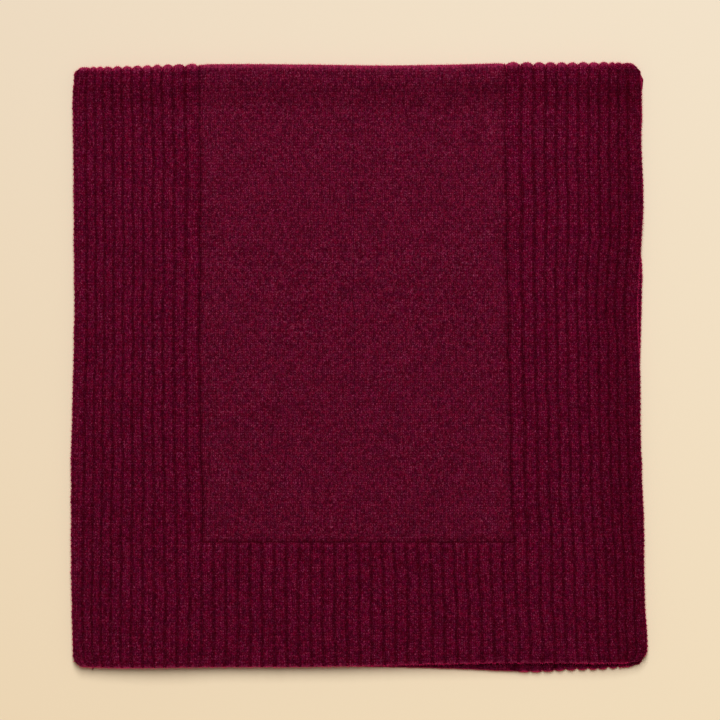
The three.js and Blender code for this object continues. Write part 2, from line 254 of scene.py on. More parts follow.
def knitted_wall(name, outer, inner, wales, courses, shade, reach_left=None, reach_right=None):
    """A closed wall of cloth: a grid wrapped round both faces of it, with its two ends filled.

    Outer and inner points run from left to right in each row. A reach rounds that side off."""
    edge_highlight = np.full((len(outer), EDGE_POINTS), EDGE_HIGHLIGHT)
    steps = np.arange(1, EDGE_POINTS + 1) / 4
    points, shades, across = [outer], [shade], [wales]
    if reach_right is not None:
        points.append(rounding(outer[:, -1], inner[:, -1], reach_right))
        shades.append(edge_highlight)
        across.append(wales[-1] + steps)
    points.append(inner[:, ::-1])
    shades.append(np.full(inner.shape[:2], UNDERSIDE_SHADE))
    across.append(np.linspace(wales[-1], wales[0], inner.shape[1]))
    if reach_left is not None:
        points.append(rounding(outer[:, 0], inner[:, 0], -reach_left)[:, ::-1])
        shades.append(edge_highlight)
        across.append(wales[0] - steps[::-1])
    loops = np.concatenate(points, axis=1)
    rows, around, _ = loops.shape
    across = np.append(np.concatenate(across), wales[0])

    bm = bmesh.new()
    bmesh.ops.create_grid(bm, x_segments=around, y_segments=rows - 1, size=0.5)
    mesh = bpy.data.meshes.new(name)
    bm.to_mesh(mesh)
    bm.free()
    flat = np.empty(len(mesh.vertices) * 3, np.float32)
    mesh.vertices.foreach_get("co", flat)
    flat = flat.reshape(-1, 3)
    column = np.rint((flat[:, 0] + 0.5) * around).astype(int)
    row = np.rint((flat[:, 1] + 0.5) * (rows - 1)).astype(int)
    placed = loops[row, column % around] * MM
    mesh.vertices.foreach_set("co", placed.astype(np.float32).ravel())
    corner = np.empty(len(mesh.loops), np.int32)
    mesh.loops.foreach_get("vertex_index", corner)
    stitches = np.stack([across[column[corner]], courses[row[corner]]], axis=1)
    mesh.uv_layers.new(name="stitches").data.foreach_set("uv", stitches.astype(np.float32).ravel())
    # Painted shade and highlights, carried to the material as the shade attribute.
    painted_light_values = np.concatenate(shades, axis=1)[row, column % around]
    mesh.attributes.new("shade", "FLOAT", "POINT").data.foreach_set("value", painted_light_values.astype(np.float32))

    bm = bmesh.new()
    bm.from_mesh(mesh)
    bm.verts.ensure_lookup_table()
    seam = [bm.verts[i] for i in np.flatnonzero((column == 0) | (column == around))]
    bmesh.ops.remove_doubles(bm, verts=seam, dist=1e-7)
    bmesh.ops.holes_fill(bm, edges=[e for e in bm.edges if e.is_boundary], sides=0)
    bmesh.ops.recalc_face_normals(bm, faces=bm.faces[:])
    bm.to_mesh(mesh)
    bm.free()
    mesh.shade_smooth()
    mesh.set_sharp_from_angle(angle=SHARP_EDGE)
    piece = bpy.data.objects.new(name, mesh)
    bpy.context.scene.collection.objects.link(piece)
    return piece


def burgundy_wool(name, deep, body, plum, fleck, highlight):
    """Heathered wool with a soft nap: two legs to each stitch, with painted shade between them and in the
    grooves.

    The yarn of each leg is lighter or darker than the next, and paler and darker fibres fleck it. A shade
    under 1 is painted shade in a groove, and one over 1 is a painted highlight on a rim."""
    material = bpy.data.materials.new(name)
    material.use_nodes = True
    nodes = material.node_tree.nodes
    link = material.node_tree.links.new

    def step(kind, values, output=0, **settings):
        """One node with its inputs set or linked, and the output that the next one reads."""
        made = nodes.new("ShaderNode" + kind)
        for setting, value in settings.items():
            setattr(made, setting, value)
        for socket, value in values.items():
            if isinstance(value, bpy.types.NodeSocket):
                link(value, made.inputs[socket])
            else:
                made.inputs[socket].default_value = value
        return made.outputs[output]

    def spread(value, low, high, to_low, to_high):
        """A value carried from one range to another, and held inside it."""
        ends = {"From Min": low, "From Max": high, "To Min": to_low, "To Max": to_high}
        return step("MapRange", {"Value": value, **ends})

    def math_step(operation, first, second=0.0, third=0.0):
        return step("Math", {0: first, 1: second, 2: third}, operation=operation)

    def blended(factor, first, second):
        mixed = {"Factor": factor, "A": first, "B": second}
        return step("Mix", mixed, "Result", data_type="RGBA")

    shader = nodes["Principled BSDF"]
    shader.inputs["Roughness"].default_value = 0.95
    shader.inputs["Specular IOR Level"].default_value = 0.0
    shader.inputs["Sheen Roughness"].default_value = 0.4
    shader.inputs["Sheen Tint"].default_value = (1.0, 0.07, 0.24, 1)

    place = step("TexCoord", {}, "Object")
    painted_light = step("Attribute", {}, "Fac", attribute_name="shade")
    stitch_place = step("UVMap", {}, uv_map="stitches")
    wale = step("SeparateXYZ", {0: stitch_place}, "X")
    course = step("SeparateXYZ", {0: stitch_place}, "Y")

    leg = math_step("ABSOLUTE", math_step("SINE", math_step("MULTIPLY", wale, 2 * math.pi)))
    bead = math_step("COSINE", math_step("MULTIPLY", course, 2 * math.pi))
    plump = math_step("MULTIPLY", leg, spread(bead, -1, 1, 0.15, 1))
    in_wale = math_step("ABSOLUTE", math_step("SINE", math_step("MULTIPLY", wale, math.pi)))
    yarn = step("VectorMath", {0: stitch_place, 1: (2, 1, 1), 2: (0, 0.5, 0)}, operation="MULTIPLY_ADD")
    one_leg = step("VectorMath", {0: yarn}, operation="FLOOR")
    dye = step("TexWhiteNoise", {"Vector": one_leg}, "Value", noise_dimensions="2D")
    heather = step("TexNoise", {"Vector": place, "Scale": 1150, "Detail": 3, "Roughness": 0.7}, "Fac")
    plies = step("TexNoise", {"Vector": place, "Scale": 300, "Detail": 1}, "Fac")
    patches = step("TexNoise", {"Vector": place, "Scale": 60, "Detail": 4, "Roughness": 0.65}, "Fac")

    hue = blended(spread(plies, 0.4, 0.62, 0, 1), (*body, 1), (*plum, 1))
    # Painted shade between the wales and the legs of each stitch, and in the grooves.
    shade_between_wales = math_step("MULTIPLY", painted_light, spread(in_wale, 0, 0.8, 0.75, 1))
    depth = math_step("MULTIPLY", shade_between_wales, spread(plump, 0, 1, 0.4, 1))
    groove_shaded = blended(depth, (*deep, 1), hue)
    picked = math_step("MULTIPLY", spread(heather, 0.54, 0.70, 0, 1), depth)
    flecked = blended(picked, groove_shaded, (*fleck, 1))
    # Painted highlight on the rims, where the shade runs over 1.
    rim_highlighted = blended(spread(painted_light, 1, 2, 0, 0.9), flecked, (*highlight, 1))
    level = math_step("MULTIPLY", spread(dye, 0, 1, 0.64, 1.40), spread(patches, 0.3, 0.7, 0.94, 1.06))
    shadowed = math_step("MULTIPLY", level, spread(heather, 0.3, 0.5, 0.4, 1))
    colour = step("VectorMath", {0: rim_highlighted, "Scale": shadowed}, operation="SCALE")
    link(colour, shader.inputs["Base Color"])
    link(math_step("MULTIPLY", depth, 0.35), shader.inputs["Sheen Weight"])

    fibres = step("TexNoise", {"Vector": place, "Scale": 1500, "Detail": 2}, "Fac")
    height = math_step("MULTIPLY_ADD", plump, 0.8, fibres)
    bump = step("Bump", {"Strength": 0.6, "Distance": 0.0004, "Height": height})
    link(bump, shader.inputs["Normal"])
    return material


# Columns of a leaf that is covered: close together in its first rib, and wide apart further in.
COVERED_COLUMNS = np.array([0, 0.8, 1.8, 2.9, 4.0, 5.2, 6.4, 7.2, 9.5, 14, 24, 42, 60, 92, 112, 145, 180])
COVERED_BACK = np.array([0, 1.4, 7.2, 24, 60, 112, 180])
WALE = 2.9
FIRST_RIB = 7.2
COVERED_RELIEF = 0.5
COVERED_GRAIN = 0.12
# Tone of a covered leaf, with painted shade in its rib valleys and between its courses.
COVERED_TONE = 0.55
COVERED_VALLEY_SHADE = 0.35
COVERED_COURSE_SHADE = 0.2
# The lower leaves' yarn is a little paler than the top leaf's, and its rim colour much paler still:
# painted light for rims that show only in shaded gaps.
UNDER_DEEP = (0.028, 0.0001, 0.003)
UNDER_BODY = (0.138, 0.0017, 0.0205)
UNDER_PLUM = (0.118, 0.0017, 0.0260)
UNDER_FLECK = (0.26, 0.056, 0.124)
UNDER_HIGHLIGHT = (0.55, 0.034, 0.120)
under_wool = burgundy_wool("under_wool", UNDER_DEEP, UNDER_BODY, UNDER_PLUM, UNDER_FLECK, UNDER_HIGHLIGHT)


def covered_leaf(name, y, edges, faces, first_line, thin):
    """A leaf that lies flat under others: its rows, its two selvedges, the functions for its two faces,
    the function for the line of its first row, and the share of its thickness at each row."""
    courses = (y - END_Y) / COURSE
    reach = [(faces[1](edge, y) - faces[0](edge, y)) / 2 for edge in edges]
    first = (edges[0] + reach[0])[:, None]
    last = (edges[1] - reach[1])[:, None]
    row = y[:, None]
    share = thin[:, None]

    def face_points(columns, up, relief):
        at = np.hstack([first + columns, (last - columns)[:, ::-1]])
        low, high = (face(at, row) for face in faces)
        level = low + (high - low) * (0.5 + (up - 0.5) * share) - relief * share
        return np.stack([at, followed(row, at, y[0], first_line(at)), level], axis=2)

    in_rib = np.hstack([COVERED_COLUMNS, COVERED_COLUMNS[::-1]]) / FIRST_RIB
    hump = np.where(in_rib < 1, np.sqrt(1 - (1 - 2 * np.clip(in_rib, 0, 1)) ** 2), 1)
    grain = 0.5 - 0.5 * np.cos(2 * math.pi * courses)[:, None]
    outer = face_points(COVERED_COLUMNS, 1, COVERED_RELIEF * (1 - hump) + COVERED_GRAIN * grain)
    inner = face_points(COVERED_BACK, 0, 0)
    wales = np.hstack([COVERED_COLUMNS, 2 * COVERED_COLUMNS[-1] - COVERED_COLUMNS[::-1] + WALE]) / WALE
    # Painted shade in the rib valleys and between the courses.
    shade = np.clip(COVERED_TONE + COVERED_VALLEY_SHADE * hump - COVERED_COURSE_SHADE * grain, 0, 1)
    knots = knotted(courses)
    reaches = (reach[0] * thin + knots, reach[1] * thin - knots)
    return knitted_wall(name, outer, inner, wales, courses, shade, *reaches)


def on_surface(x, y):
    return 0 * (x + y)


def lowest_top(x, y):
    return folded_top(x, y) / 2 - HALF_GAP


def lowest_edge(side, y):
    """Selvedge of the lowest leaf, which meets the top leaf's own selvedge at the tail."""
    folded = lower_selvedge(side, y, FOLDED_INSET)
    at_tail = read(SELVEDGE_Y, SELVEDGE[side], y)
    return folded + (at_tail - folded) * ease(*TAIL_BLEND, y)


def strip_end(x):
    """Line where the strip round the back fold ends and a whole leaf goes on."""
    return read(ACROSS_X, FOLD_LINE, x) + folded_top(x, END_Y) / 2 + STRIP_COURSES * COURSE


tail_end = ARC_Y - TAIL_LENGTH - CLEARANCE
lowest_rows = np.arange(FOLD_STRIP_Y, tail_end, COURSE / 2)
lowest_leaf = covered_leaf(
    "lowest_leaf",
    lowest_rows,
    [lowest_edge(side, lowest_rows) for side in INWARDS],
    (on_surface, lowest_top),
    strip_end,
    np.ones(len(lowest_rows)),
)
lowest_leaf.data.materials.append(under_wool)
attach(lowest_leaf, "root")
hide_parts("folded_leaves")

# Back fold
# The middle of the scarf, where the lowest leaf turns back on itself at -Y: the same knitted cloth with
# its right side out, so that its ribs stand as small humps along the fold past the top leaf's end.
PANEL_WALES = 78
RIBS = 12
RIB_WALES = 3
FOLD_RELIEF = 2.0
FOLD_UNEVEN = 0.6
FOLD_SMOOTH = 0.32
FOLD_SMOOTH_REACH = (118.0, 165.0)
# Painted highlight where the fold turns furthest out, and painted shade in the valleys between its humps.
FOLD_HIGHLIGHT = 1.5
FOLD_VALLEY_SHADE = 0.4
FOLD_RISE_REACH = 30
FOLD_DEEPEST = 2.3
SCALLOP_POWER = 0.8
FOLD_COURSES = 5
FOLD_PANEL_RISE = 0.62
FOLD_CORE = 0.15
LEG_RISE = 0.30
BEAD_RISE = 0.24
SLANT = 0.55
HUMP_POWER = 0.8
RIB_CHANGE = (80.0, 180.0)
CORNER_RIBS = 3

PANEL_LINE_Y, PANEL_LEFT, PANEL_RIGHT = np.array([
    (-225, -118.9, 120.4),
    (-157, -118.3, 118.0),
    (-115, -117.9, 115.9),
    (-2, -120.0, 113.2),
    (149, -119.6, 110.8),
    (229, -121.0, 110.4),
]).T
PANEL_SIDE = {"left": PANEL_LEFT, "right": PANEL_RIGHT}

# Rib widths from the selvedge inwards, beside the panel and beside the end ribs.
WIDTH_BY_PANEL, WIDTH_BY_END = np.array([
    (9.6, 7.9),
    (7.1, 7.3),
    (6.9, 7.0),
    (7.3, 7.5),
    (7.5, 7.8),
    (7.7, 8.2),
    (7.7, 8.4),
    (7.8, 8.5),
    (7.8, 8.9),
    (8.3, 9.3),
    (9.2, 9.3),
    (10.6, 9.1),
]).T

# Columns of one rib, in wales from the middle of a purl wale, and where they lie across its width.
RIB_COLUMNS = np.arange(0, RIB_WALES, 0.25)
WALE_PLACES, WIDTH_PLACES = np.array([(0, 0), (0.5, 0.12), (1.5, 0.5), (2.5, 0.88), (3, 1)]).T


def border_valleys(side, y, draw_in):
    """Valleys between a border's ribs, from the selvedge inwards, for every row."""
    by_end = ease(*RIB_CHANGE, -y)[:, None]
    widths = WIDTH_BY_PANEL * (1 - by_end) + WIDTH_BY_END * by_end
    run = np.hstack([0 * by_end, np.cumsum(widths, axis=1)])
    run /= run[:, -1:]
    edge = read(SELVEDGE_Y, SELVEDGE[side], y)[:, None]
    line = read(PANEL_LINE_Y, PANEL_SIDE[side], y)[:, None]
    held = np.clip(1 - np.arange(RIBS + 1) / CORNER_RIBS, 0, 1)
    return edge + (line - edge) * run + INWARDS[side] * draw_in[:, None] * held


def rib_layout(valleys):
    """x, wales from the first knit one, and height for every column between a row's valleys."""
    ribs = valleys.shape[1] - 1
    within = np.tile(RIB_COLUMNS, ribs)
    rib = np.repeat(np.arange(ribs), len(RIB_COLUMNS))
    at = np.interp(within, WALE_PLACES, WIDTH_PLACES)
    x = np.hstack([valleys[:, rib] * (1 - at) + valleys[:, rib + 1] * at, valleys[:, -1:]])
    wales = np.append(rib * RIB_WALES + within, ribs * RIB_WALES) - 0.5
    hump = np.append(np.sin(math.pi * at) ** HUMP_POWER, 0)
    return x, wales, hump


def stitch(wales, courses):
    """Shares of the two legs across each wale, and of the bead that they make in each course."""
    legs = 1 - np.abs(4 * np.abs(np.mod(wales, 1) - 0.5) - 1)
    bead = 0.5 + 0.5 * np.cos(2 * math.pi * courses)
    return legs, bead


fold_course = np.concatenate([
    np.linspace(-STRIP_COURSES, -1, 4),
    np.arange(0, FOLD_COURSES + STRIP_COURSES, 0.5),
    [FOLD_COURSES + STRIP_COURSES],
])
past_fold = np.where(fold_course < 0, -fold_course, fold_course - FOLD_COURSES)
from_fold = np.clip(past_fold, 0, None)[:, None] * COURSE
row_y = END_Y + ONE_LEAF + from_fold
fold_angle = math.pi * np.clip(fold_course / FOLD_COURSES, 0, 1)[:, None]
fold_valleys = {}
for side in INWARDS:
    from_end = row_y - END_Y - ONE_LEAF * np.sin(fold_angle)
    drawn = corner_draw(END_CORNER[side], from_end) + read(INSET_Y, UNDER_INSET[side], row_y)
    fold_valleys[side] = border_valleys(side, row_y[:, 0], drawn[:, 0] + FOLDED_INSET + ONE_LEAF / 2)
left_x, left_wales, left_hump = rib_layout(fold_valleys["left"])
right_x, right_wales, right_hump = rib_layout(fold_valleys["right"][:, ::-1])
middle_share = np.arange(0, PANEL_WALES + 0.1, 0.5) / PANEL_WALES
middle_x = left_x[:, -1:] + (right_x[:, :1] - left_x[:, -1:]) * middle_share
fold_x = np.hstack([left_x[:, :-1], middle_x, right_x[:, 1:]])
border_wales = RIBS * RIB_WALES
fold_wales = np.concatenate([
    left_wales[:-1],
    border_wales + middle_share * PANEL_WALES,
    border_wales + PANEL_WALES + right_wales[1:],
])
middle_hump = np.clip(np.minimum(middle_share, 1 - middle_share) * PANEL_WALES / 2, 0, 1) * FOLD_PANEL_RISE
fold_hump = np.concatenate([left_hump[:-1], middle_hump, right_hump[1:]])


def round_back_fold(x, sunk, core):
    """Points under the back fold, round it and over it, sunk in from its full form or at its core."""
    radius = folded_top(x, END_Y) / 2
    level = radius + (folded_top(x, row_y) / 2 - radius) * ease(0, FOLD_RISE_REACH, from_fold)
    out = np.full_like(x, core) if core else radius - sunk * ease(0, math.pi / 3, fold_angle)
    y = read(ACROSS_X, FOLD_LINE, x) + radius - out * np.sin(fold_angle) + from_fold
    beneath = level - core if core else 0 * x
    above = level + (core if core else level - sunk)
    round_z = level - out * np.cos(fold_angle)
    z = np.where(fold_angle <= 0, beneath, np.where(fold_angle >= math.pi, above, round_z))
    return np.stack([x, y, z], axis=2)


legs, bead = stitch(fold_wales[None], fold_course[:, None])
uneven = np.repeat(draw.uniform(1 - FOLD_UNEVEN, 1 + FOLD_UNEVEN, len(fold_hump) // 3 + 1), 3)
ribbed = FOLD_SMOOTH + (1 - FOLD_SMOOTH) * ease(*FOLD_SMOOTH_REACH, np.abs(fold_x))
sunk = FOLD_RELIEF * ribbed * ((1 - fold_hump**SCALLOP_POWER) * uneven[:len(fold_hump)])[None]
sunk = sunk + LEG_RISE * (1 - legs) / 2 + BEAD_RISE * (1 - bead) / 2
fold_outer = round_back_fold(fold_x, np.clip(sunk, 0, FOLD_DEEPEST), 0)
fold_inner = round_back_fold(fold_x[:, :: 2 * len(RIB_COLUMNS)], 0, FOLD_CORE)
fold_inner[:, -1] = round_back_fold(fold_x[:, -1:], 0, FOLD_CORE)[:, 0]
# Painted shade in the valleys between the humps; the highlight where the fold turns out is painted below.
fold_shaded = FOLD_VALLEY_SHADE + (1 - FOLD_VALLEY_SHADE) * fold_hump
fold_knots = knotted(fold_course)
back_fold = knitted_wall(
    "back_fold",
    fold_outer,
    fold_inner,
    fold_wales,
    fold_course,
    fold_shaded[None] * (1 + FOLD_HIGHLIGHT * np.sin(fold_angle) ** 2),
    ONE_LEAF / 2 + fold_knots,
    ONE_LEAF / 2 - fold_knots,
)
back_fold.data.materials.append(under_wool)
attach(back_fold, "root")
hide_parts("folded_leaves")

# Third leaf
# The leaf that comes back from the back fold, right side up. It is the same knitted cloth, and only its
# selvedges show, at the sides.
THIRD_SETTLED = 0.05
LAST_ROW_GAP = 0.6


def third_low(x, y):
    return folded_top(x, y) / 2 + HALF_GAP


def third_top(x, y):
    return folded_top(x, y) - THIRD_SETTLED


third_rows = np.append(np.arange(FOLD_STRIP_Y, ARC_Y - LAST_ROW_GAP, COURSE / 2), ARC_Y)
third_leaf = covered_leaf(
    "third_leaf",
    third_rows,
    [lower_selvedge(side, third_rows, FOLDED_INSET) for side in INWARDS],
    (third_low, third_top),
    strip_end,
    np.ones(len(third_rows)),
)
third_leaf.data.materials.append(under_wool)
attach(third_leaf, "root")
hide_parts("folded_leaves")

# Second leaf
# The scarf's other end comes back over the third leaf, wrong side up, and stops just inside the top leaf's
# end. At the right its selvedge stands out past the top leaf for a hand's width.
END_ROUND = 1.5
LEAST_END = 0.1
END_ROWS = np.array([0, 0.07, 0.2, 0.35])


def second_low(x, y):
    return folded_top(x, y) + CLEARANCE


def second_top(x, y):
    return second_low(x, y) + ONE_LEAF * heap(x, y)


def second_line(x):
    return read(ACROSS_X, SECOND_END, x)


def end_thickness(courses):
    """Share of its thickness that the cloth has at a row, rounded off at the scarf's end."""
    return LEAST_END + (1 - LEAST_END) * rounded(courses * COURSE / END_ROUND)


second_whole_rows = np.arange(0.5, (ARC_Y - END_Y - LAST_ROW_GAP) / COURSE, 0.5)
second_courses = np.concatenate([END_ROWS, second_whole_rows])
second_rows = np.append(END_Y + second_courses * COURSE, ARC_Y)
second_leaf = covered_leaf(
    "second_leaf",
    second_rows,
    [lower_selvedge(side, second_rows, 0) for side in INWARDS],
    (second_low, second_top),
    second_line,
    end_thickness((second_rows - END_Y) / COURSE),
)
second_leaf.data.materials.append(under_wool)
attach(second_leaf, "root")
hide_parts("under_leaf")

# Inner turn
# Inside the folded edge the third leaf turns up and back, and goes on as the second leaf. It is the same
# cloth, bent close round nothing but itself, and shows only from the two sides.
INNER_COURSES = 5
INNER_CORE = 0.12
INNER_CLEARANCE = 0.15
INNER_TONE = 0.8

inner_course = np.arange(0, INNER_COURSES + 0.1, 0.5)
inner_turned = (inner_course / INNER_COURSES)[:, None]
inner_angle = math.pi * (inner_turned - 0.5)
inner_edges = []
for side in INWARDS:
    third, second = (lower_selvedge(side, np.array([ARC_Y]), inset) for inset in (FOLDED_INSET, 0))
    inner_edges.append(third + (second - third) * inner_turned + INWARDS[side] * ONE_LEAF / 2)


def round_inner_turn(columns, core):
    """Points round the inner turn, on its outer face or at its core."""
    x = np.hstack([inner_edges[0] + columns, (inner_edges[1] - columns)[:, ::-1]])
    radius, centre_y, centre_z = turn_hollow(x)
    out = np.full_like(x, core) if core else radius - INNER_CLEARANCE
    y = centre_y + out * np.cos(inner_angle)
    z = centre_z + out * np.sin(inner_angle)
    return np.stack([x, y, z], axis=2)


inner_outer = round_inner_turn(COVERED_COLUMNS, 0)
inner_wales = np.arange(inner_outer.shape[1]) / 2
inner_turn = knitted_wall(
    "inner_turn",
    inner_outer,
    round_inner_turn(COVERED_BACK, INNER_CORE),
    inner_wales,
    inner_course,
    np.full(inner_outer.shape[:2], INNER_TONE),
    np.full(len(inner_course), ONE_LEAF / 2),
    np.full(len(inner_course), ONE_LEAF / 2),
)
inner_turn.data.materials.append(under_wool)
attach(inner_turn, "root")
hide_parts("under_leaf")

# Side borders of the top leaf
# Twelve ribs down each side, two knit wales and a purl wale each, knitted in one with the panel. They run
# from the scarf's end over the leaf and round the folded edge, where the ribs stand as a scalloped line.
LEAF_COURSES = (ARC_Y - END_Y) / COURSE
TURN_COURSES = 9
TAIL_COURSES = TAIL_LENGTH / COURSE
TURN_REACH = 5.3
LOWER_SIDE = (0.5, 0.68)
SHIFT_JITTER = 0.12
HEIGHT_JITTER = 0.08
MEAN_LEG = 0.6
BEAD_IN_GROOVE = 0.4
FIRST_STITCHES = (0.6, 2)
FIRST_BENDS = (1, 3)
SELVEDGE_ROUND = 0.8
VALLEY_ON_FOLD = 0.9
LEAST_WALL = 0.25
# Painted shade along the rib valleys, less dark beside the panel towards the folded edge.
GROOVE_SHADE = 0.54
PANEL_SIDE_COLUMNS = 4
SOFT_VALLEY = 0.7
SOFT_VALLEY_REACH = (120.0, 190.0)
GROOVE_EDGE = (0.05, 0.22)
NOTCH_POWER = 0.6
SELVEDGE_HUMP = 0.65
# Painted highlights at the scarf's end and on the folded edge, and painted shade behind that edge and
# towards the end.
END_HIGHLIGHT = 1.0
END_HIGHLIGHT_DEPTH = 2.1
FOLD_EDGE_HIGHLIGHT = 0.95
ENDWARD_SHADE = 0.08
# Painted shade on the outer ribs, deeper at the right selvedge.
OUTER_PAINTED_SHADE = {"left": 0.05, "right": 0.26}
OUTER_PAINTED_SHADE_REACH = (12.0, 50.0)
BEHIND_FOLD = (188.0, 200.0, 207.0, 215.0)
BEHIND_FOLD_PAINTED_SHADE = 0.2

# How far the corners of the folded edge are drawn in, by the way back from that edge: on the top leaf's
# side of the fold and on the tail's, which stands out a little past the top leaf at the right.
FROM_FOLD = (0, 1.4, 3.6, 5.8, 7.5, 9.5, 12, 14, 16, 20)
UPPER_CORNER = {
    "left": (4.8, 3.6, 1.6, 1.0, 1.0, 1.0, 0.9, 0.8, 0.1, 0),
    "right": (7.0, 5.4, 3.8, 2.2, 1.4, 1.2, 1.0, 0.9, 0.5, 0),
}
LOWER_CORNER = {
    "left": (5.0, 4.0, 2.2, 1.3, 1.1, 1.0, 0.8, 0.5, 0.1, 0),
    "right": (8.0, 6.4, 4.6, 1.8, -1.2, -2.0, -1.2, -0.3, 0, 0),
}

# How full the ribs are, from the selvedge inwards, and how that changes slowly along each.
RIB_FULLNESS = np.array([0.72, 0.78, 0.84, 0.88, 0.92, 0.95, 0.97, 1, 1, 1, 1, 1])
LEAST_FULLNESS = 0.6
END_FULLNESS = 0.55
END_FULLNESS_REACH = (1, 9)
FULLNESS_CHANGE = 0.07
CHANGE_LENGTHS = (50, 130)

# Slow wander of the stitch lines across the leaf: lengths along and across it, phase and reach.
WANDERS = [
    (83, 190, 0.7, 0.38),
    (41, -120, 2.1, 0.24),
    (23, 75, 4.0, 0.12),
]
WANDER_FROM_EDGE = 14

RIB_DEEP = (0.032, 0.0001, 0.002)
RIB_BODY = (0.128, 0.0009, 0.0178)
RIB_PLUM = (0.116, 0.0010, 0.0245)
RIB_FLECK = (0.26, 0.056, 0.124)
RIB_RIM = (0.30, 0.024, 0.080)
rib_wool = burgundy_wool("rib_wool", RIB_DEEP, RIB_BODY, RIB_PLUM, RIB_FLECK, RIB_RIM)


def chevron(wales):
    """How far a row of stitches bends up towards the sides of a wale, in courses, straight at a joint."""
    free = np.clip(np.minimum(wales - wales[0], wales[-1] - wales), 0, 1)
    return SLANT * (np.abs(2 * np.mod(wales, 1) - 1) - 0.5) * free


def wandered(x, y):
    shift = 0 * x
    for along, across, phase, reach in WANDERS:
        shift = shift + reach * np.sin(2 * math.pi * (y / along + x / across) + phase)
    return x + shift * ease(0, WANDER_FROM_EDGE, from_selvedge(x, y))


def top_leaf(x, courses, lift):
    """Points of the top leaf: x across, courses from its end, and its lift off its own inside."""
    lying = np.minimum(courses, LEAF_COURSES)
    nominal = END_Y + lying * COURSE
    radius, centre_y, centre_z = turn_hollow(x)
    angle = math.pi * (0.5 - np.clip((courses - LEAF_COURSES) / TURN_COURSES, 0, 1))
    under = ease(0, math.pi / 2, -angle)
    tail = np.clip(courses - LEAF_COURSES - TURN_COURSES, 0, None) * COURSE
    outer = lift > 0
    full = np.where(outer, lift * (1 - under) + tail_inside(x) * under, 0)
    thin = end_thickness(lying)
    leaf_y = followed(nominal, x, END_Y, read(ACROSS_X, END_LINE, x))
    leaf_z = leaf_inside(x, nominal) + RIB_WALL * (1 - thin) / 2 + full * thin
    lies = courses < LEAF_COURSES
    y = np.where(lies, leaf_y, centre_y + (radius + full) * np.cos(angle) - tail)
    z = np.where(lies, leaf_z, centre_z + (radius + full) * np.sin(angle))
    return np.stack([wandered(x, nominal), y, z], axis=2)


def top_rows(first):
    """Courses of the rows along the top leaf, two to a course, and wider under the tail."""
    last = LEAF_COURSES + TURN_COURSES
    tail_rows = [last, last + TAIL_COURSES / 2, last + TAIL_COURSES]
    return np.concatenate([np.arange(first, last, 0.5), tail_rows])


def jitter(shape, share):
    """Uneven stitches, left out at the sides and ends where the next piece joins."""
    made = draw.normal(0, share, shape)
    made[0] = made[-1] = 0
    made[:, 0] = made[:, -1] = 0
    return made


def stitch_relief(wales, courses):
    """Height of the stitches on the right side of the cloth, less in the first courses of an end."""
    legs, bead = stitch(wales[None], courses[:, None])
    beaded = BEAD_IN_GROOVE + (1 - BEAD_IN_GROOVE) * legs
    relief = LEG_RISE * (legs - MEAN_LEG) + BEAD_RISE * (bead - 0.5) * beaded
    return relief * ease(*FIRST_STITCHES, courses)[:, None] + jitter(relief.shape, HEIGHT_JITTER)


def full_by_end(courses):
    """Fullness of the ribs at each row, less where they are pressed flat at the scarf's end."""
    return END_FULLNESS + (1 - END_FULLNESS) * ease(*END_FULLNESS_REACH, courses * COURSE)[:, None]


def slow_change(ribs, y):
    """Slow change of fullness along each rib, one row of values for each row of the cloth."""
    lengths = draw.uniform(*CHANGE_LENGTHS, ribs)
    phases = draw.uniform(0, 2 * math.pi, ribs)
    change = 1 + FULLNESS_CHANGE * np.sin(2 * math.pi * y[:, None] / lengths + phases)
    each = np.repeat(change, len(RIB_COLUMNS), axis=1)
    return np.hstack([each, each[:, -1:]])


def leaf_painted_light(courses):
    """Painted shade behind the folded edge and towards the end, and painted highlights on that edge and at
    the end.
    """
    y = END_Y + courses * COURSE
    low, full, last, end = BEHIND_FOLD
    sunk = BEHIND_FOLD_PAINTED_SHADE * ease(low, full, y) * (1 - ease(last, end, y))
    endward_shade = ENDWARD_SHADE * ease(ARC_Y, END_Y, y)
    end_highlight = END_HIGHLIGHT * (1 - ease(0, END_HIGHLIGHT_DEPTH, y - END_Y))
    turned = np.clip((courses - LEAF_COURSES) / TURN_COURSES, 0, 1)
    fold_highlight = FOLD_EDGE_HIGHLIGHT * np.sin(math.pi * turned) ** 2
    return ((1 - sunk - endward_shade) * (1 + end_highlight + fold_highlight))[:, None]


def rib_shade(hump):
    """Painted shade across the ribs: flat and dark along each purl wale, where the valley lies, full over
    the knit wales.
    """
    at = np.arcsin(np.clip(hump, 0, 1) ** (1 / HUMP_POWER)) / math.pi
    return GROOVE_SHADE + (1 - GROOVE_SHADE) * ease(*GROOVE_EDGE, at)


